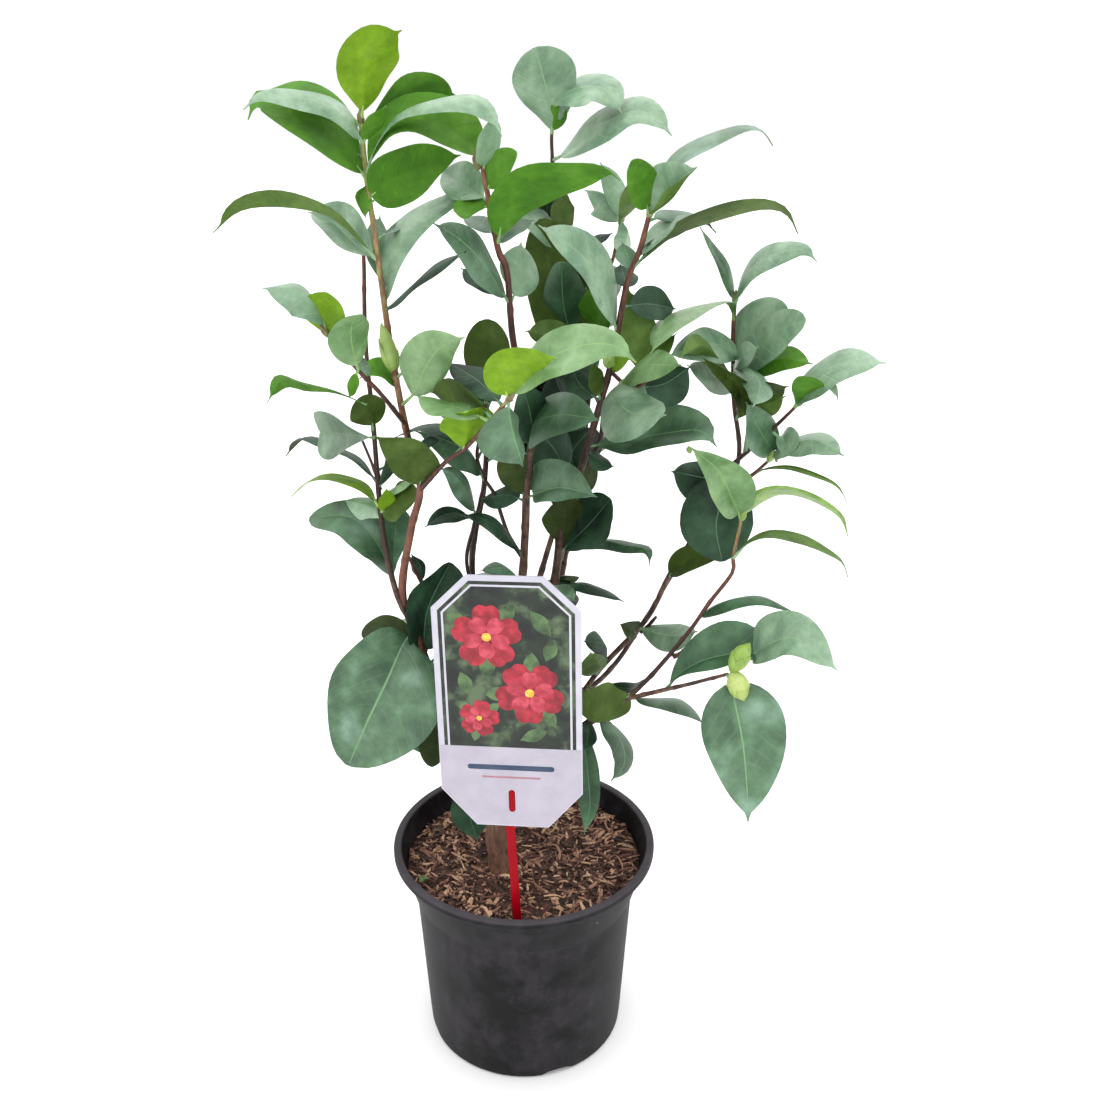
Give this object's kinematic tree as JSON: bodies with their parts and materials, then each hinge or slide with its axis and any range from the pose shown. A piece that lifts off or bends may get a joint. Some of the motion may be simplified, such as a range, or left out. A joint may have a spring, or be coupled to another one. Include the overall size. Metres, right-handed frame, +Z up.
{
  "type": "potted camellia shrub",
  "caption": "Young camellia in a round black nursery pot: slim branching stems, open sprays of glossy oval leaves, two flower buds and a plant label on a stick.",
  "frame": {"origin": "centre of the pot's flat underside, on the surface that the pot stands on", "axes": "+Z up along the pot's axis, -Y towards the front, where the plant label stands, +X to the right seen from the front"},
  "size_m": [0.36, 0.266, 0.631],
  "materials": {
    "pot_plastic": "matte",
    "compost": "matte",
    "bark": "matte",
    "leaves": "satin",
    "label_card": "satin",
    "label_stick": "gloss"
  },
  "bodies": {
    "root": {"pot": "pot_plastic", "compost": "compost", "trunk": "bark", "stem_centre": "bark", "stem_left": "bark", "stem_right": "bark", "stem_back_left": "bark", "stem_back_right": "bark", "stem_back_low": "bark", "bough_left": "bark", "bough_right": "bark", "bough_right_front": "bark", "bough_far_back": "bark", "twig_left_front": "bark", "twig_left_outer": "bark", "twig_right": "bark", "twig_buds": "bark", "leaves_left_top": "leaves", "leaves_left_upper": "leaves", "leaves_left_outer": "leaves", "leaves_left_middle": "leaves", "leaves_left_low": "leaves", "leaves_left_skirt": "leaves", "leaves_centre_top": "leaves", "leaves_centre_middle": "leaves", "leaves_centre_low": "leaves", "leaves_back_top": "leaves", "leaves_right_top": "leaves", "leaves_right_middle": "leaves", "leaves_right_outer": "leaves", "leaves_right_low": "leaves", "leaves_right_skirt": "leaves", "leaves_inner_right": "leaves", "leaves_inner_middle": "leaves", "leaves_inner_left": "leaves", "leaves_back_left": "leaves", "leaves_back_right": "leaves", "leaves_back_low": "leaves", "leaves_back_inner": "leaves", "label_card": "label_card", "label_stick": "label_stick"}
  },
  "joints": []
}
